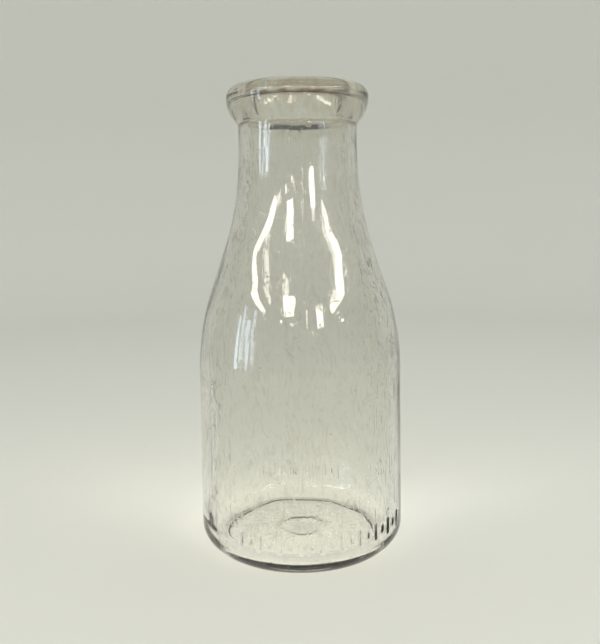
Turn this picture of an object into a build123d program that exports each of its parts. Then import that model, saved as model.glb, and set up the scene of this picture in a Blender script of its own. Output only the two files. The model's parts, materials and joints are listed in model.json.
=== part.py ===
from build123d import *
import os
from math import asin, atan, cos, degrees, pi, sin

# A one-pint round milk bottle in clear moulded glass, open at the top, made in one piece.
# Millimetres, Z up, origin at the middle of the circle it stands on. -Y is the front.

# Heights of the outside
height = 184.0             # table to rim
body_height = 70.4         # table to the top of the straight side
neck_length = 10.6         # straight neck below the lip bead
finish_height = 15.4       # crease under the lip bead to the rim

# Body, heel and base
body_diameter = 82.0
heel_radius = 8.8          # rounding between side and standing ring
ring_width = 2.2           # flat ring that the bottle stands on
foot_step = 0.6            # step up from the standing ring to the base
push_up = 1.2              # middle of the base above the table

# Shoulder: a bulging arc, a straight run and a hollow arc, all tangent
shoulder_straight = 14.6
hollow_share = 0.55        # part of the whole curve that the hollow arc takes

# Mouth, worked out from the pressed-paper disc cap that closes it
cap_diameter = 41.3        # 1 5/8 inch disc
cap_clearance = 0.3
seat_depth = 5.0           # rim down to the ledge that carries the cap
ledge_width = 1.75
rim_width = 7.7            # seat wall to the outside of the bead
lip_round = 4.8            # outer rounding of the rim
mouth_round = 1.8          # inner rounding of the rim
throat_length = 6.5
throat_taper = 4.0         # height over which the throat opens into the neck
throat_step = 0.65         # how much wider the neck is than the throat, on the radius

# Glass thickness
side_wall = 5.0
neck_wall = 4.2
base_thickness = 3.0       # at the middle
floor_rise = 0.8           # middle of the floor above its edge
floor_radius = 8.0         # inner corner between floor and side

# Raised marks round the heel: plain upright bars, long and short by turns
mark_width = 1.3
mark_height = 6.0
short_mark_height = 2.4
mark_proud = 0.4
mark_base = 10.4           # table to the foot of a bar
mark_pitch = 5.5           # degrees
front_marks = 19
front_middle = 16.0        # degrees right of the front
back_marks = 11

# Groove left by the plunger plate under the base
groove_radius = 8.7
groove_size = 0.45

body_r = body_diameter / 2
seat_r = (cap_diameter + cap_clearance) / 2
lip_r = seat_r + rim_width
throat_r = seat_r - ledge_width
bore_r = throat_r + throat_step
neck_r = bore_r + neck_wall
inner_r = body_r - side_wall
crease = height - finish_height
neck_foot = crease - neck_length
ledge = height - seat_depth
throat_foot = ledge - throat_length
floor_edge = push_up + base_thickness - floor_rise


def shoulder(low_r, high_r):
    """Bulging arc, straight run and hollow arc between the body and the neck."""
    rise = neck_foot - body_height
    slope = 2 * atan((low_r - high_r) / (rise + shoulder_straight))
    curve = (rise - shoulder_straight * cos(slope)) / sin(slope)
    hollow = hollow_share * curve
    bulge = curve - hollow
    lower = CenterArc((low_r - bulge, body_height), bulge, 0, degrees(slope))
    upper = CenterArc((high_r + hollow, neck_foot), hollow, 180, degrees(slope))
    return [lower, Line(lower @ 1, upper @ 1), upper]


def dome(radius, low, high):
    """Shallow arc from the axis at one height to a radius at a lower height."""
    sag = high - low
    bend = (radius**2 + sag**2) / (2 * sag)
    return CenterArc((0, high - bend), bend, 90, -degrees(asin(radius / bend)))


def outside():
    """Edges of the outer skin, from the middle of the base up to the rim."""
    ring_outer = body_r - heel_radius
    ring_inner = ring_outer - ring_width
    step_r = ring_inner - foot_step
    widest = height - lip_round
    out = lip_r - neck_r
    drop = widest - crease
    bead = (drop**2 + out**2) / (2 * out)
    return [
        dome(step_r, foot_step, push_up),
        Line((step_r, foot_step), (ring_inner, 0)),
        Line((ring_inner, 0), (ring_outer, 0)),
        CenterArc((ring_outer, heel_radius), heel_radius, -90, 90),
        Line((body_r, heel_radius), (body_r, body_height)),
        *shoulder(body_r, neck_r),
        Line((neck_r, neck_foot), (neck_r, crease)),
        CenterArc((lip_r - bead, widest), bead, 0, -degrees(asin(drop / bead))),
        CenterArc((lip_r - lip_round, widest), lip_round, 0, 90),
        Line((lip_r - lip_round, height), (seat_r + mouth_round, height)),
    ]


def cavity():
    """Edges of the inner skin, from the middle of the floor up to the cap's ledge."""
    return [
        dome(inner_r, floor_edge, push_up + base_thickness),
        Line((inner_r, floor_edge), (inner_r, body_height)),
        *shoulder(inner_r, bore_r),
        Line((bore_r, neck_foot), (bore_r, throat_foot - throat_taper)),
        Line((bore_r, throat_foot - throat_taper), (throat_r, throat_foot)),
        Line((throat_r, throat_foot), (throat_r, ledge)),
    ]


def mouth():
    """Edges of the cap's seat, from its ledge up to the rim."""
    return [
        Line((throat_r, ledge), (seat_r, ledge)),
        Line((seat_r, ledge), (seat_r, height - mouth_round)),
        CenterArc((seat_r + mouth_round, height - mouth_round), mouth_round, 180, -90),
    ]


def turned(edges):
    """Solid turned from a closed half section, with the floor's corner rounded."""
    section = make_face(edges)
    corner = section.vertices().sort_by_distance((inner_r, floor_edge))[0]
    return revolve(Plane.XZ * fillet(corner, floor_radius), Axis.Z)


def glass_wall():
    """The turned shape of the bottle."""
    middle = Line((0, push_up), (0, push_up + base_thickness))
    return turned(outside() + mouth() + cavity() + [middle])


def heel_bar(angle, length):
    """One raised bar at an angle from the front, set a little into the side."""
    depth = 1.0 + mark_proud
    bar = Box(mark_width, depth, length)
    bar = Pos(0, -(body_r + mark_proud - depth / 2), mark_base + mark_height / 2) * bar
    return Rot(0, 0, angle) * bar


def heel_marks():
    """Bars round the front and the back of the heel."""
    bars = []
    for count, middle in ((front_marks, front_middle), (back_marks, 180.0)):
        for i in range(count):
            length = mark_height if i % 2 == 0 else short_mark_height
            bars.append(heel_bar(middle + (i - (count - 1) / 2) * mark_pitch, length))
    return bars


def base_groove():
    """Ring cut into the underside where the dome crosses the groove's radius."""
    step_r = body_r - heel_radius - ring_width - foot_step
    sag = push_up - foot_step
    level = push_up - sag * (groove_radius / step_r) ** 2
    ring = Pos(groove_radius, level) * Circle(groove_size)
    return revolve(Plane.XZ * ring, Axis.Z)


def glass_bottle():
    bottle = glass_wall() - base_groove()
    for bar in heel_marks():
        bottle = bottle + bar
    bottle.label = "glass_bottle"
    return bottle


def capacity():
    """Millilitres held up to the cap's ledge."""
    top = Line((throat_r, ledge), (0, ledge))
    middle = Line((0, ledge), (0, push_up + base_thickness))
    return turned(cavity() + [top, middle]).volume / 1000


os.makedirs("parts", exist_ok=True)
bottle = glass_bottle()
export_step(bottle, "parts/glass_bottle.step")
print("neck", round(2 * neck_r, 2), "lip", round(2 * lip_r, 2), "throat", round(2 * throat_r, 2))
print("holds", round(capacity(), 1), "ml; glass", round(bottle.volume * 0.0025, 1), "g")
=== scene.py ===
import json
import math

import bpy
import numpy as np
from mathutils import Matrix, Quaternion, Vector


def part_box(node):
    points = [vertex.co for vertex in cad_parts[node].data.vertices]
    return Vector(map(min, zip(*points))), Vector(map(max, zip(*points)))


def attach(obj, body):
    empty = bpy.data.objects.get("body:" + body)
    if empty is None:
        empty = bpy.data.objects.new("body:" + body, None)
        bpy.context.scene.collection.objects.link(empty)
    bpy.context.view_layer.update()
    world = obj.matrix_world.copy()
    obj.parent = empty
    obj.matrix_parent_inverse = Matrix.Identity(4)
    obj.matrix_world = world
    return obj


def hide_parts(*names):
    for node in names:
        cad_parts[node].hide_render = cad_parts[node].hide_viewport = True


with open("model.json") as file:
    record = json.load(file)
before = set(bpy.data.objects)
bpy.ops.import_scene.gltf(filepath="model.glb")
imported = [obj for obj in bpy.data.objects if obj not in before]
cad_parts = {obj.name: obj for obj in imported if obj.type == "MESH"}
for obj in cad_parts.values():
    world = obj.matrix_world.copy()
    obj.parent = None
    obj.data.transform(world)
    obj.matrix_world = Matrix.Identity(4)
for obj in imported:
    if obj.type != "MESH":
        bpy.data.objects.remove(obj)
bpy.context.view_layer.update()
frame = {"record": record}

mm = 0.001

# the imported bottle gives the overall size, and its mounts give the two bores of the mouth
low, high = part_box("glass_bottle")
mounts = frame["record"]["mounts"]
bores = {mount["name"]: mount["dims"]["r_mm"] for mount in mounts if mount["kind"] == "bore"}

# lengths in millimetres
glass = {
    "height": (high.z - low.z) / mm,
    "bodyRadius": (high.x - low.x) / 2 / mm,
    "bodyHeight": 70.4,
    "neckLength": 10.6,
    "finishHeight": 15.4,     # lip bead, from its underside to the rim
    "shoulderStraight": 14.6,
    "hollowShare": 0.55,      # how much of the shoulder's curve is hollow
    "heelRadius": 8.8,
    "ringWidth": 2.2,         # flat ring it stands on
    "footStep": 0.6,
    "pushUp": 1.2,            # middle of the base above the table
    "seatRadius": bores["cap_seat"],
    "throatRadius": bores["throat"],
    "seatDepth": 5.0,
    "throatLength": 6.5,
    "throatTaper": 4.0,
    "throatStep": 0.65,
    "rimWidth": 7.7,
    "lipRound": 4.8,
    "mouthRound": 1.8,
    "sideWall": 5.0,
    "neckWall": 4.2,
    "baseThickness": 3.0,
    "floorRise": 0.8,
    "floorRadius": 8.0,
    "softness": 0.32,         # how far fire-polishing rounds every corner
    "sinkOuter": 0.20,        # deepest dip in the outer skin
    "sinkInner": 0.34,        # unevenness of the blown inner skin
    "outerEven": 30,          # the skins get even nearer the axis than these radii
    "innerEven": 20,
    "throatEven": 30,         # and over this height below the pressed throat
}

heelMarks = {
    "width": 1.3,
    "tall": 6.0,
    "short": 2.4,
    "proud": 0.4,
    "foot": 10.4,
    "pitch": 5.5,                        # degrees
    "rows": ((19, 16.0), (11, 180.0)),   # bars, and degrees from the front
    "ramp": 0.42,                        # width of a bar's sloping edge
}

mouldLines = {
    "seams": (3.5, 183.5),    # degrees from the front
    "seamWidth": 0.34,
    "seamProud": 0.1,
    "seamMiddle": 86,         # the seams run this far up and down from this height
    "seamReach": 78,
    "seamFade": 10,
    "seamFoot": 6,            # no seam lower than this, or nearer the axis
    "seamRadius": 23,
    "ringDrop": 4.2,          # lip parting line below the rim
    "ringWidth": 0.3,
    "ringProud": 0.12,
    "grooveRadius": 8.7,      # plunger ring under the base
    "grooveWidth": 0.5,
    "grooveDepth": 0.4,
}

grid = {
    "step": 0.1,              # first sampling of the outline
    "finest": 0.22,           # gaps between rings
    "coarsest": 1.7,
    "error": 0.008,           # how far a flat face may lie off the true curve
    "lookRound": 1.2,         # a bend draws rings in from this far along the outline
    "turn": 0.84,             # degrees between fine uprights
    "fineBand": (9.4, 17.4),  # heights that need the fine uprights
    "bandStep": 0.42,
}


def arc(cx, cz, radius, start, end, count=48):
    turn = np.radians(np.linspace(start, end, count))
    return np.stack([cx + radius * np.cos(turn), cz + radius * np.sin(turn)], 1)


def shoulderCurve(lowRadius, highRadius, bottom, top):
    # bulging arc, straight run, hollow arc
    rise = top - bottom
    straight = glass["shoulderStraight"]
    slope = 2 * math.atan((lowRadius - highRadius) / (rise + straight))
    curve = (rise - straight * math.cos(slope)) / math.sin(slope)
    hollow = glass["hollowShare"] * curve
    bulge = curve - hollow
    turn = math.degrees(slope)
    lower = arc(lowRadius - bulge, bottom, bulge, 0, turn)
    upper = arc(highRadius + hollow, top, hollow, 180 + turn, 180)
    return np.concatenate([lower, upper])


def domeCurve(radius, bottom, top):
    sag = top - bottom
    bend = (radius ** 2 + sag ** 2) / (2 * sag)
    return arc(0, top - bend, bend, 90, 90 - math.degrees(math.asin(radius / bend)))


def floorCurve(wallRadius, edge, top, corner):
    # corner arc that touches both the wall and the low dome of the floor
    sag = top - edge
    bend = (wallRadius ** 2 + sag ** 2) / (2 * sag)
    across = wallRadius - corner
    up = math.sqrt((bend + corner) ** 2 - across ** 2)
    tilt = math.degrees(math.atan2(across, up))
    turned = arc(across, top - bend + up, corner, 0, -90 - tilt)
    return np.concatenate([turned, arc(0, top - bend, bend, 90 - tilt, 90)])


def bottleOutline():
    # the glass in section: middle of the base, over the rim, to the middle of the floor
    g = glass
    lipRadius = g["seatRadius"] + g["rimWidth"]
    boreRadius = g["throatRadius"] + g["throatStep"]
    neckRadius = boreRadius + g["neckWall"]
    innerRadius = g["bodyRadius"] - g["sideWall"]
    crease = g["height"] - g["finishHeight"]
    neckFoot = crease - g["neckLength"]
    ledge = g["height"] - g["seatDepth"]
    throatFoot = ledge - g["throatLength"]
    ringOuter = g["bodyRadius"] - g["heelRadius"]
    ringInner = ringOuter - g["ringWidth"]
    widest = g["height"] - g["lipRound"]
    drop = widest - crease
    out = lipRadius - neckRadius
    bead = (drop ** 2 + out ** 2) / (2 * out)
    beadTurn = -math.degrees(math.asin(drop / bead))
    floorTop = g["pushUp"] + g["baseThickness"]
    floorEdge = floorTop - g["floorRise"]
    outer = [
        domeCurve(ringInner - g["footStep"], g["footStep"], g["pushUp"]),
        [[ringInner, 0], [ringOuter, 0]],
        arc(ringOuter, g["heelRadius"], g["heelRadius"], -90, 0),
        shoulderCurve(g["bodyRadius"], neckRadius, g["bodyHeight"], neckFoot),
        arc(lipRadius - bead, widest, bead, beadTurn, 0),
        arc(lipRadius - g["lipRound"], widest, g["lipRound"], 0, 90),
    ]
    mouthTop = g["height"] - g["mouthRound"]
    inner = [
        arc(g["seatRadius"] + g["mouthRound"], mouthTop, g["mouthRound"], 90, 180),
        [[g["seatRadius"], ledge], [g["throatRadius"], ledge]],
        [[g["throatRadius"], throatFoot], [boreRadius, throatFoot - g["throatTaper"]]],
        shoulderCurve(innerRadius, boreRadius, g["bodyHeight"], neckFoot)[::-1],
        floorCurve(innerRadius, floorEdge, floorTop, g["floorRadius"]),
    ]
    return np.concatenate(outer), np.concatenate(inner)


def alongOutline(points):
    return np.concatenate([[0], np.cumsum(np.linalg.norm(np.diff(points, axis=0), axis=1))])


def evenSteps(points, step):
    gaps = np.linalg.norm(np.diff(points, axis=0), axis=1)
    points = points[np.concatenate([[True], gaps > 1e-6])]
    along = alongOutline(points)
    at = np.linspace(0, along[-1], int(along[-1] / step) + 1)
    return np.stack([np.interp(at, along, points[:, i]) for i in (0, 1)], 1)


def polished(points):
    # rounds every corner by averaging along the outline, with the axis as a mirror
    reach = glass["softness"] / grid["step"]
    side = int(4 * reach)
    weights = np.exp(-0.5 * (np.arange(-side, side + 1) / reach) ** 2)
    weights /= weights.sum()
    mirror = np.array([-1, 1])
    start = points[side:0:-1] * mirror
    end = points[-2:-side - 2:-1] * mirror
    padded = np.concatenate([start, points, end])
    return np.stack([np.convolve(padded[:, i], weights, "valid") for i in (0, 1)], 1)


def ringGaps(points):
    # how far apart rings may lie: close together where the outline bends
    run = np.gradient(points, axis=0)
    length = np.linalg.norm(run, axis=1)
    heading = np.unwrap(np.arctan2(run[:, 1], run[:, 0]))
    bend = np.abs(np.gradient(heading)) / length
    wide = int(grid["lookRound"] / grid["step"])
    bend = np.array([bend[max(0, i - wide):i + wide + 1].max() for i in range(len(bend))])
    gap = np.sqrt(8 * grid["error"] / np.maximum(bend, 1e-6))
    return np.clip(gap, grid["finest"], grid["coarsest"]), length


def ringList():
    outer, inner = bottleOutline()
    path = evenSteps(np.concatenate([outer, inner]), grid["step"])
    rim = int(np.argmax(path[:, 1] * 1000 + path[:, 0]))
    path = polished(path)
    gap, length = ringGaps(path)
    bandLow, bandHigh = grid["fineBand"]
    picked = []
    since = 0.0
    for i in range(1, len(path) - 1):
        since += length[i]
        inBand = i < rim and bandLow < path[i, 1] < bandHigh
        limit = min(gap[i], grid["bandStep"]) if inBand else gap[i]
        if since >= limit:
            picked.append(i)
            since = 0.0
    picked = np.array(picked)
    return path, picked, picked < rim


def barAngles():
    found = []
    for count, middle in heelMarks["rows"]:
        found += [middle + (i - (count - 1) / 2) * heelMarks["pitch"] for i in range(count)]
    return found


def uprights():
    # angles round the bottle, in degrees from the front, close together at bars and seams
    perMm = math.degrees(1 / glass["bodyRadius"])
    half = heelMarks["width"] / 2
    ramp = heelMarks["ramp"] / 2
    offsets = (-half - ramp, -half, -half + ramp, 0, half - ramp, half, half + ramp)
    exact = [(centre + offset * perMm) % 360 for centre in barAngles() for offset in offsets]
    for seam in mouldLines["seams"]:
        for share in (-2, -1, -0.5, 0, 0.5, 1, 2):
            exact.append((seam + share * mouldLines["seamWidth"] * perMm) % 360)
    exact = np.array(sorted(exact))
    near = 0.45 * grid["turn"]
    even = np.arange(0, 360, grid["turn"])
    even = [a for a in even if np.abs((exact - a + 180) % 360 - 180).min() > near]
    angles = np.array(sorted(even + list(exact)))
    if len(angles) % 2:
        widest = int(np.argmax(np.diff(angles)))
        angles = np.insert(angles, widest + 1, (angles[widest] + angles[widest + 1]) / 2)
    return angles


def softEdge(distance, half, ramp):
    t = np.clip((half + ramp / 2 - np.abs(distance)) / ramp, 0, 1)
    return t * t * (3 - 2 * t)


def aroundFrom(angles, centre):
    return np.radians((angles - centre + 180) % 360 - 180) * glass["bodyRadius"]


def markRelief(angles, z):
    # plain raised bars, tall and short in turn
    m = heelMarks
    relief = np.zeros_like(angles)
    middle = m["foot"] + m["tall"] / 2
    order = [i for count, _ in m["rows"] for i in range(count)]
    for i, centre in zip(order, barAngles()):
        tall = m["short"] if i % 2 else m["tall"]
        across = softEdge(aroundFrom(angles, centre), m["width"] / 2, m["ramp"])
        relief = np.maximum(relief, across * softEdge(z - middle, tall / 2, m["ramp"]))
    return relief * m["proud"]


def seamRelief(angles, z):
    m = mouldLines
    relief = np.zeros_like(angles)
    for seam in m["seams"]:
        relief += np.exp(-(aroundFrom(angles, seam) / m["seamWidth"]) ** 2)
    return relief * m["seamProud"] * softEdge(z - m["seamMiddle"], m["seamReach"], m["seamFade"])


waves = np.random.default_rng(7)


def waveSet(count, turns, shortest, size=1.0):
    # slow waves: turns round the bottle, cycles per mm of height, phase, size
    return [
        (
            int(waves.integers(turns[0], turns[1] + 1)),
            waves.uniform(-1, 1) / shortest,
            waves.uniform(0, 2 * math.pi),
            waves.uniform(0.5, 1) * size,
        )
        for _ in range(count)
    ]


innerWaves = waveSet(9, (1, 6), 34) + waveSet(6, (5, 11), 90)
outerWaves = waveSet(7, (2, 9), 45) + waveSet(12, (4, 16), 13, 0.7)


def waviness(angles, z, table):
    total = 0
    for turns, rise, phase, size in table:
        total = total + size * np.sin(np.radians(angles) * turns + z * 2 * math.pi * rise + phase)
    return total / sum(row[3] for row in table) ** 0.5 / 1.6


def ringPoints(r, z, isOuter, dense, angles):
    g = glass
    m = mouldLines
    radii = np.full(len(angles), r)
    lift = 0.0
    if isOuter:
        sink = np.clip((1 - waviness(angles, z, outerWaves)) / 2, 0, 1)
        radii -= sink * g["sinkOuter"] * np.clip(r / g["outerEven"], 0, 1)
        if dense:
            radii += markRelief(angles, z)
        if r > m["seamRadius"] and z > m["seamFoot"]:
            radii += seamRelief(angles, z)
        aboveRing = z - (g["height"] - m["ringDrop"])
        if r > m["seamRadius"]:
            radii += m["ringProud"] * math.exp(-(aboveRing / m["ringWidth"]) ** 2)
        if z < g["baseThickness"]:
            lift = m["grooveDepth"] * math.exp(-((r - m["grooveRadius"]) / m["grooveWidth"]) ** 2)
    else:
        throatFoot = g["height"] - g["seatDepth"] - g["throatLength"] - g["throatTaper"]
        fade = np.clip((throatFoot - z) / g["throatEven"], 0, 1) * np.clip(r / g["innerEven"], 0, 1)
        radii += waviness(angles, z, innerWaves) * g["sinkInner"] * fade
    turn = np.radians(angles)
    heights = np.full(len(angles), z + lift)
    return np.stack([radii * np.sin(turn), -radii * np.cos(turn), heights], 1)


def stripFaces(a, b, count, aDense, bDense):
    # faces between two rings that start at points a and b; count is the coarse ring's
    faces = []
    if aDense == bDense:
        i = np.arange(2 * count if aDense else count)
        j = (i + 1) % len(i)
        return np.stack([a + i, a + j, b + j, b + i], 1).tolist()
    for i in range(count):
        j = (i + 1) % count
        m, n = 2 * i + 1, (2 * i + 2) % (2 * count)
        if bDense:
            faces += [[a + i, b + m, b + 2 * i], [a + i, a + j, b + m], [a + j, b + n, b + m]]
        else:
            faces += [[a + 2 * i, a + m, b + i], [a + m, b + j, b + i], [a + m, a + n, b + j]]
    return faces


def bottleMesh():
    path, picked, outside = ringList()
    fine = uprights()
    coarse = fine[::2]
    bandLow, bandHigh = grid["fineBand"]
    points, dense = [], []
    for i, isOuter in zip(picked, outside):
        r, z = path[i]
        dense.append(bool(isOuter and bandLow < z < bandHigh and r > glass["bodyRadius"] - 2))
        angles = fine if dense[-1] else coarse
        points.append(ringPoints(r, z, isOuter, dense[-1], angles))
    starts = np.cumsum([0] + [len(ring) for ring in points])
    poles = np.array([[0, 0, path[0, 1]], [0, 0, path[-1, 1]]])
    verts = np.concatenate(points + [poles])
    faces = []
    for k in range(len(points) - 1):
        faces += stripFaces(starts[k], starts[k + 1], len(coarse), dense[k], dense[k + 1])
    under, floor, last = starts[-1], starts[-1] + 1, starts[-2]
    for i in range(len(coarse)):
        j = (i + 1) % len(coarse)
        faces.append([under, j, i])
        faces.append([floor, last + i, last + j])
    return verts * mm, faces


def makeBottle():
    verts, faces = bottleMesh()
    mesh = bpy.data.meshes.new("glassBottle")
    mesh.from_pydata(verts.tolist(), [], faces)
    mesh.validate()
    mesh.shade_smooth()
    piece = bpy.data.objects.new("milk_bottle", mesh)
    bpy.context.scene.collection.objects.link(piece)
    triangles = sum(len(face.vertices) - 2 for face in mesh.polygons)
    print("bottle:", len(mesh.vertices), "points,", triangles, "triangles")
    return piece


def node(tree, kind, inputs=None, **settings):
    made = tree.nodes.new(kind)
    for name, value in settings.items():
        setattr(made, name, value)
    for name, value in (inputs or {}).items():
        if isinstance(value, bpy.types.NodeSocket):
            tree.links.new(value, made.inputs[name])
        else:
            made.inputs[name].default_value = value
    return made


def maths(tree, operation, *values):
    made = node(tree, "ShaderNodeMath", dict(enumerate(values)), operation=operation)
    return made.outputs[0]


def ramp(tree, value, start, end, top=1.0):
    # goes from 0 at start to top at end, and stays inside that
    inputs = {"Value": value, "From Min": start, "From Max": end, "To Min": 0, "To Max": top}
    return node(tree, "ShaderNodeMapRange", inputs, interpolation_type="SMOOTHSTEP").outputs[0]


def noise(tree, place, scale, detail=2.0):
    inputs = {"Vector": place, "Scale": scale, "Detail": detail}
    return node(tree, "ShaderNodeTexNoise", inputs).outputs[0]


def blend(tree, share, first, second):
    made = node(tree, "ShaderNodeMix", data_type="RGBA")
    for index, value in ((0, share), (6, first), (7, second)):
        if isinstance(value, bpy.types.NodeSocket):
            tree.links.new(value, made.inputs[index])
        else:
            made.inputs[index].default_value = value
    return made.outputs[2]


def newGroup(name, inputs, outputs):
    tree = bpy.data.node_groups.new(name, "ShaderNodeTree")
    for label, kind, value in inputs:
        made = tree.interface.new_socket(label, in_out="INPUT", socket_type=kind)
        if value is not None:
            made.default_value = value
    for label, kind in outputs:
        tree.interface.new_socket(label, in_out="OUTPUT", socket_type=kind)
    return tree, tree.nodes.new("NodeGroupInput").outputs, tree.nodes.new("NodeGroupOutput").inputs


def wrapGroup():
    # unrolls the bottle: distance round it, height, distance from its axis
    tree, _, out = newGroup("aroundBottle", [], [("Place", "NodeSocketVector")])
    here = node(tree, "ShaderNodeTexCoord").outputs["Object"]
    split = node(tree, "ShaderNodeSeparateXYZ", {0: here}).outputs
    back = maths(tree, "MULTIPLY", split["Y"], -1.0)
    turn = maths(tree, "ARCTAN2", split["X"], back)
    across = maths(tree, "MULTIPLY", turn, glass["bodyRadius"] * mm)
    squares = [maths(tree, "POWER", side, 2.0) for side in (split["X"], back)]
    away = maths(tree, "SQRT", maths(tree, "ADD", *squares))
    joined = node(tree, "ShaderNodeCombineXYZ", {0: across, 1: split["Z"], 2: away})
    tree.links.new(joined.outputs[0], out["Place"])
    return tree


def scratchGroup():
    # thin broken lines: Size is the spacing of the pattern in metres
    inputs = [
        ("Place", "NodeSocketVector", None),
        ("Size", "NodeSocketFloat", 0.004),
        ("Stretch", "NodeSocketFloat", 4.0),
        ("Tilt", "NodeSocketFloat", 0.0),
        ("Thinness", "NodeSocketFloat", 0.02),
        ("Cover", "NodeSocketFloat", 0.4),
    ]
    tree, given, out = newGroup("fineScratches", inputs, [("Mask", "NodeSocketFloat")])
    turned = node(
        tree, "ShaderNodeVectorRotate", {"Vector": given["Place"], "Angle": given["Tilt"]},
        rotation_type="Z_AXIS",
    ).outputs[0]
    tall = maths(tree, "DIVIDE", 1.0, given["Stretch"])
    squash = node(tree, "ShaderNodeCombineXYZ", {0: 1.0, 1: tall, 2: 1.0}).outputs[0]
    squashed = node(
        tree, "ShaderNodeVectorMath", {0: turned, 1: squash}, operation="MULTIPLY",
    ).outputs[0]
    scale = maths(tree, "DIVIDE", 1.0, given["Size"])
    level = noise(tree, squashed, scale, 1.0)
    away = maths(tree, "ABSOLUTE", maths(tree, "SUBTRACT", level, 0.5))
    line = ramp(tree, away, given["Thinness"], 0.0)
    # lines show only where the patches rise above a level that Cover sets
    patches = noise(tree, given["Place"], maths(tree, "MULTIPLY", scale, 0.9), 3.0)
    start = maths(tree, "SUBTRACT", 0.75, maths(tree, "MULTIPLY", given["Cover"], 0.5))
    broken = ramp(tree, patches, start, maths(tree, "ADD", start, 0.08))
    tree.links.new(maths(tree, "MULTIPLY", line, broken), out["Mask"])
    return tree


def specksGroup():
    # scattered dots: Cover is the share of cells that hold one
    inputs = [
        ("Place", "NodeSocketVector", None),
        ("Size", "NodeSocketFloat", 0.004),
        ("Dot", "NodeSocketFloat", 0.1),
        ("Cover", "NodeSocketFloat", 0.2),
    ]
    tree, given, out = newGroup("dustSpecks", inputs, [("Mask", "NodeSocketFloat")])
    scale = maths(tree, "DIVIDE", 1.0, given["Size"])
    cells = node(tree, "ShaderNodeTexVoronoi", {"Vector": given["Place"], "Scale": scale}).outputs
    pick = node(tree, "ShaderNodeSeparateColor", {0: cells["Color"]}).outputs
    reach = maths(tree, "MULTIPLY", given["Dot"], maths(tree, "ADD", pick["Green"], 0.4))
    dot = ramp(tree, cells["Distance"], reach, maths(tree, "MULTIPLY", reach, 0.6))
    chosen = maths(tree, "LESS_THAN", pick["Red"], given["Cover"])
    tree.links.new(maths(tree, "MULTIPLY", dot, chosen), out["Mask"])
    return tree


def rubbedGroup():
    # a patchy band round the bottle, where it has rubbed against others
    inputs = [
        ("Place", "NodeSocketVector", None),
        ("Height", "NodeSocketFloat", 0.07),
        ("Reach", "NodeSocketFloat", 0.002),
        ("Grain", "NodeSocketFloat", 0.0012),
    ]
    tree, given, out = newGroup("rubbedBand", inputs, [("Mask", "NodeSocketFloat")])
    height = node(tree, "ShaderNodeSeparateXYZ", {0: given["Place"]}).outputs["Y"]
    away = maths(tree, "ABSOLUTE", maths(tree, "SUBTRACT", height, given["Height"]))
    band = ramp(tree, away, given["Reach"], 0.0)
    grains = noise(tree, given["Place"], maths(tree, "DIVIDE", 1.0, given["Grain"]), 3.0)
    patches = noise(tree, given["Place"], 110.0, 2.0)
    grains = ramp(tree, grains, 0.52, 0.66)
    patches = ramp(tree, patches, 0.42, 0.62)
    pitted = maths(tree, "MULTIPLY", grains, patches)
    tree.links.new(maths(tree, "MULTIPLY", band, pitted), out["Mask"])
    return tree


clearGlass = {
    "tint": (0.985, 0.985, 0.975, 1),
    "inside": (0.72, 0.69, 0.56, 1),      # what is left of light in the thick glass
    "density": 8.0,
    "ior": 1.52,
    "shade": (0.985, 0.985, 0.975, 1),    # light that reaches the floor through it
    "drawLines": 0.018,                   # mm, streaks left by drawing the hot glass
    "ripple": 0.018,
    "scratchDepth": 0.02,
    "speckHeight": 0.03,
    "dust": (0.62, 0.56, 0.45, 1),
    "aged": (0.91, 0.908, 0.88, 1),       # dulled wall above the heel
    "agedFrom": 0.012,
    "agedOver": 0.03,
    "film": (0.90, 0.89, 0.855, 1),       # faint old water marks
    "scored": (0.66, 0.65, 0.61, 1),
    "scoredShare": 0.6,
    "stain": (0.76, 0.73, 0.64, 1),       # what has dried on the lip
    "stainFrom": 0.163,
    "stainOver": 0.012,
    "ledgeGrime": (0.26, 0.08, 0.035, 1),  # painted shade: a dark line in the corner of the cap seat
    "grimeHeight": 0.0013,                # above and below the ledge
    "grimeReach": 0.0024,                 # in and out from the corner
    "wornRough": 0.30,
    "scoredRough": 0.22,
    "dustyRough": 0.6,
    "drawnScale": 420.0,                  # noise cells to a metre
    "drawnStretch": 0.045,
    "rippleScale": 130.0,
    "filmScale": 45.0,
    "streakScale": 210.0,
    "grimeScale": 160.0,
}


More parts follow.
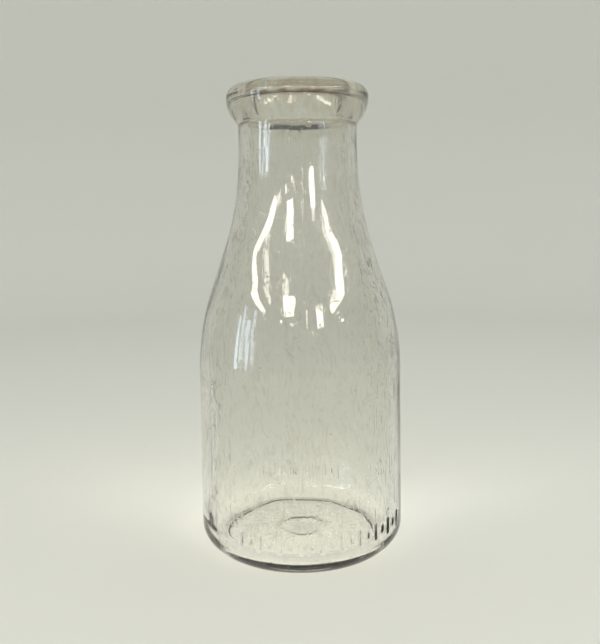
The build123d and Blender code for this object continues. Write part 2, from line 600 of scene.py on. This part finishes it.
def glassMaterial():
    c = clearGlass
    material = bpy.data.materials.new("clearGlass")
    material.use_nodes = True
    tree = material.node_tree
    tree.nodes.clear()
    place = node(tree, "ShaderNodeGroup", node_tree=wrapGroup()).outputs["Place"]

    def masks(group, rows):
        # one copy of the group for each row of values, the strongest wins
        total = 0.0
        for row in rows:
            made = node(tree, "ShaderNodeGroup", node_tree=group)
            tree.links.new(place, made.inputs["Place"])
            for name, value in row.items():
                made.inputs[name].default_value = value
            total = maths(tree, "MAXIMUM", total, made.outputs["Mask"])
        return total

    scratches = masks(scratchGroup(), [
        {"Size": 0.0035, "Stretch": 7.0, "Tilt": 0.05, "Thinness": 0.03, "Cover": 0.50},
        {"Size": 0.0050, "Stretch": 6.0, "Tilt": -0.35, "Thinness": 0.018, "Cover": 0.42},
        {"Size": 0.0060, "Stretch": 5.0, "Tilt": 1.35, "Thinness": 0.014, "Cover": 0.36},
    ])
    specks = masks(specksGroup(), [
        {"Size": 0.0022, "Dot": 0.10, "Cover": 0.10},
        {"Size": 0.0080, "Dot": 0.075, "Cover": 0.24},
    ])
    rubbed = masks(rubbedGroup(), [
        {"Height": 0.0690, "Reach": 0.006, "Grain": 0.0012},
        {"Height": 0.1790, "Reach": 0.004, "Grain": 0.0010},
    ])
    stretch = {0: place, 1: (1, c["drawnStretch"], 1)}
    tall = node(tree, "ShaderNodeVectorMath", stretch, operation="MULTIPLY").outputs[0]
    drawn = noise(tree, tall, c["drawnScale"], 2.0)
    ripple = noise(tree, place, c["rippleScale"], 1.0)
    film = ramp(tree, noise(tree, place, c["filmScale"], 4.0), 0.50, 0.72)

    split = node(tree, "ShaderNodeSeparateXYZ", {0: place}).outputs
    height, away = split["Y"], split["Z"]
    lipward = ramp(tree, height, c["stainFrom"], c["stainFrom"] + c["stainOver"])
    streaky = ramp(tree, noise(tree, place, c["streakScale"], 3.0), 0.25, 0.60)

    bodyward = ramp(tree, height, c["agedFrom"], c["agedFrom"] + c["agedOver"])
    colour = blend(tree, bodyward, c["tint"], c["aged"])
    colour = blend(tree, maths(tree, "MULTIPLY", bodyward, film), colour, c["film"])
    colour = blend(tree, maths(tree, "MULTIPLY", lipward, streaky), colour, c["stain"])
    # painted shade: a dark, patchy line where the cap seat meets the ledge
    ledge = (glass["height"] - glass["seatDepth"]) * mm
    besideLedge = maths(tree, "ABSOLUTE", maths(tree, "SUBTRACT", height, ledge))
    nearCorner = maths(tree, "ABSOLUTE", maths(tree, "SUBTRACT", away, glass["seatRadius"] * mm))
    thin = ramp(tree, besideLedge, c["grimeHeight"], c["grimeHeight"] * 0.4)
    close = ramp(tree, nearCorner, c["grimeReach"], c["grimeReach"] * 0.5)
    corner = maths(tree, "MULTIPLY", thin, close)
    patchy = ramp(tree, noise(tree, place, c["grimeScale"], 3.0), 0.30, 0.56)
    ledgeShadeMask = maths(tree, "MULTIPLY", corner, patchy)
    colour = blend(tree, ledgeShadeMask, colour, c["ledgeGrime"])
    colour = blend(tree, specks, colour, c["dust"])
    colour = blend(tree, maths(tree, "MULTIPLY", scratches, c["scoredShare"]), colour, c["scored"])
    worn = maths(tree, "MULTIPLY", rubbed, c["wornRough"])
    scored = maths(tree, "MULTIPLY", scratches, c["scoredRough"])
    dusty = maths(tree, "MULTIPLY", specks, c["dustyRough"])
    rough = maths(tree, "MAXIMUM", maths(tree, "MAXIMUM", worn, scored), dusty)
    heights = (
        (drawn, c["drawLines"]),
        (ripple, c["ripple"]),
        (scratches, -c["scratchDepth"]),
        (specks, c["speckHeight"]),
        (rubbed, -c["scratchDepth"]),
    )
    height = 0.0
    for layer, size in heights:
        height = maths(tree, "MULTIPLY_ADD", layer, size, height)
    bump = node(tree, "ShaderNodeBump", {"Height": height, "Strength": 1.0, "Distance": mm})

    shader = node(tree, "ShaderNodeBsdfPrincipled", {
        "Base Color": colour,
        "Metallic": 0.0,
        "Roughness": rough,
        "IOR": c["ior"],
        "Transmission Weight": 1.0,
        "Normal": bump.outputs[0],
    })
    rays = node(tree, "ShaderNodeLightPath")
    clear = node(tree, "ShaderNodeBsdfTransparent", {"Color": c["shade"]})
    mix = node(tree, "ShaderNodeMixShader", {
        0: rays.outputs["Is Shadow Ray"], 1: shader.outputs[0], 2: clear.outputs[0],
    })
    inside = {"Color": c["inside"], "Density": c["density"]}
    absorb = node(tree, "ShaderNodeVolumeAbsorption", inside)
    node(tree, "ShaderNodeOutputMaterial", {"Surface": mix.outputs[0], "Volume": absorb.outputs[0]})
    return material


studio = {
    "floorRadius": 0.62,
    "curveRadius": 0.30,
    "wallHeight": 2.0,
    "paper": (0.79, 0.80, 0.77, 1),
    "air": (0.80, 0.87, 1.0, 1),
    "airStrength": 0.14,
    "aim": (0, 0, 0.118),                 # what the lamps face
    "ceilingPlace": (0, 0.12, 1.95),
    "ceilingSize": (1.2, 1.2),
    "ceilingGlow": 1.41,
    "ceilingColour": (1, 0.99, 0.96),
}


def makeStage():
    # a bowl of pale paper: flat floor, rounded edge, upright wall all round
    s = studio
    flat = np.linspace(0.02, s["floorRadius"], 12)[:, None] * [1, 0]
    edge = arc(s["floorRadius"], s["curveRadius"], s["curveRadius"], -90, 0, 16)[1:]
    outline = np.concatenate([flat, edge, [[s["floorRadius"] + s["curveRadius"], s["wallHeight"]]]])
    count = 96
    turn = np.linspace(0, 2 * math.pi, count, endpoint=False)
    verts = [(0, 0, 0)]
    for r, z in outline:
        verts += [(r * math.cos(t), r * math.sin(t), z) for t in turn]
    faces = [(0, 1 + i, 1 + (i + 1) % count) for i in range(count)]
    for k in range(len(outline) - 1):
        a, b = 1 + k * count, 1 + (k + 1) * count
        for i in range(count):
            j = (i + 1) % count
            faces.append((a + i, b + i, b + j, a + j))
    mesh = bpy.data.meshes.new("studioSweep")
    mesh.from_pydata(verts, [], faces)
    mesh.shade_smooth()
    sweep = bpy.data.objects.new("studio_sweep", mesh)
    bpy.context.scene.collection.objects.link(sweep)
    material = bpy.data.materials.new("palePaper")
    material.use_nodes = True
    shader = material.node_tree.nodes["Principled BSDF"]
    shader.inputs["Base Color"].default_value = s["paper"]
    shader.inputs["Roughness"].default_value = 0.9
    mesh.materials.append(material)


cream = (1.0, 0.96, 0.86)
daylight = (0.68, 0.81, 1.0)

# start and end of each tube or window edge, its width, how bright it looks, its colour
lamps = {
    "tubeRight": ((0.50, -0.52, 0.386), (0.50, -0.12, 0.386), 0.044, 12, cream),
    "tubeLeft": ((-0.50, -0.50, 0.363), (-0.50, -0.14, 0.363), 0.038, 12, cream),
    "shortLeft": ((-0.144, -0.580, 0.319), (-0.134, -0.543, 0.404), 0.120, 12, cream),
    "shortRight": ((0.256, -0.561, 0.243), (0.246, -0.539, 0.331), 0.080, 12, cream),
    "panelLeft": ((-0.24, -0.56, 0.29), (-0.21, -0.57, 0.29), 0.018, 16, cream),
    "panelMiddle": ((-0.12, -0.62, 0.28), (-0.09, -0.62, 0.28), 0.018, 16, cream),
    "panelRight": ((0.46, -0.36, 0.24), (0.44, -0.39, 0.26), 0.012, 16, cream),
    "windowFar": ((-0.56, -0.31, 0.01), (-0.56, -0.31, 0.25), 0.055, 6, daylight),
    "windowMiddle": ((-0.62, -0.18, 0.01), (-0.62, -0.18, 0.25), 0.042, 7, daylight),
}


def rectangleLight(name, place, size, glow, colour, target, longWay=(0, 1, 0)):
    # glow is the brightness of its face, the same whatever its size
    data = bpy.data.lights.new(name, "AREA")
    data.shape = "RECTANGLE"
    data.size, data.size_y = size
    data.energy = 4 * glow * size[0] * size[1]
    data.color = colour
    facing = (Vector(place) - Vector(target)).normalized()
    along = Vector(longWay)
    along = (along - facing * along.dot(facing)).normalized()
    sideways = along.cross(facing)
    light = bpy.data.objects.new(name, data)
    light.location = place
    light.rotation_mode = "QUATERNION"
    light.rotation_quaternion = Matrix((sideways, along, facing)).transposed().to_quaternion()
    light.visible_camera = False
    bpy.context.scene.collection.objects.link(light)
    return light


def makeLights():
    world = bpy.data.worlds.new("studioAir")
    bpy.context.scene.world = world
    world.use_nodes = True
    background = world.node_tree.nodes["Background"]
    background.inputs["Color"].default_value = studio["air"]
    background.inputs["Strength"].default_value = studio["airStrength"]
    aim = Vector(studio["aim"])
    for name, (start, end, width, glow, colour) in lamps.items():
        start, end = Vector(start), Vector(end)
        size = (width, (end - start).length)
        lamp = rectangleLight(name, (start + end) / 2, size, glow, colour, aim, end - start)
        lamp.visible_diffuse = colour != daylight   # the windows only show as reflections
    # soft light for the paper, which the glass doesn't mirror
    place = Vector(studio["ceilingPlace"])
    below = (place.x, place.y, 0)
    size, glow, colour = studio["ceilingSize"], studio["ceilingGlow"], studio["ceilingColour"]
    soft = rectangleLight("ceilingSoft", place, size, glow, colour, below)
    soft.visible_glossy = False
    soft.visible_transmission = False


view = {
    "place": (0.00039, -0.300, 0.1378),
    "pitch": 4.3,
    "roll": -0.655,
    "lens": 41.34,
    "shift": -0.10,
    "bounces": 32,            # light has many glass faces to cross
}


def makeCamera():
    data = bpy.data.cameras.new("shelfView")
    data.sensor_width = 36
    data.lens = view["lens"]
    data.shift_y = view["shift"]
    data.clip_start = 0.005
    data.clip_end = 20
    camera = bpy.data.objects.new("shelfView", data)
    camera.location = view["place"]
    camera.rotation_mode = "QUATERNION"
    level = Quaternion((1, 0, 0), math.radians(90 - view["pitch"]))
    camera.rotation_quaternion = level @ Quaternion((0, 0, 1), math.radians(view["roll"]))
    scene = bpy.context.scene
    scene.collection.objects.link(camera)
    scene.camera = camera
    scene.view_settings.view_transform = "Standard"
    scene.cycles.max_bounces = view["bounces"]
    scene.cycles.transmission_bounces = view["bounces"]


makeCamera()
print("camera set")
makeStage()
makeLights()
print("stage and lights set")
bottlePiece = makeBottle()
bottlePiece.data.materials.append(glassMaterial())
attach(bottlePiece, "root")
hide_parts("glass_bottle")
print("bottle finished")
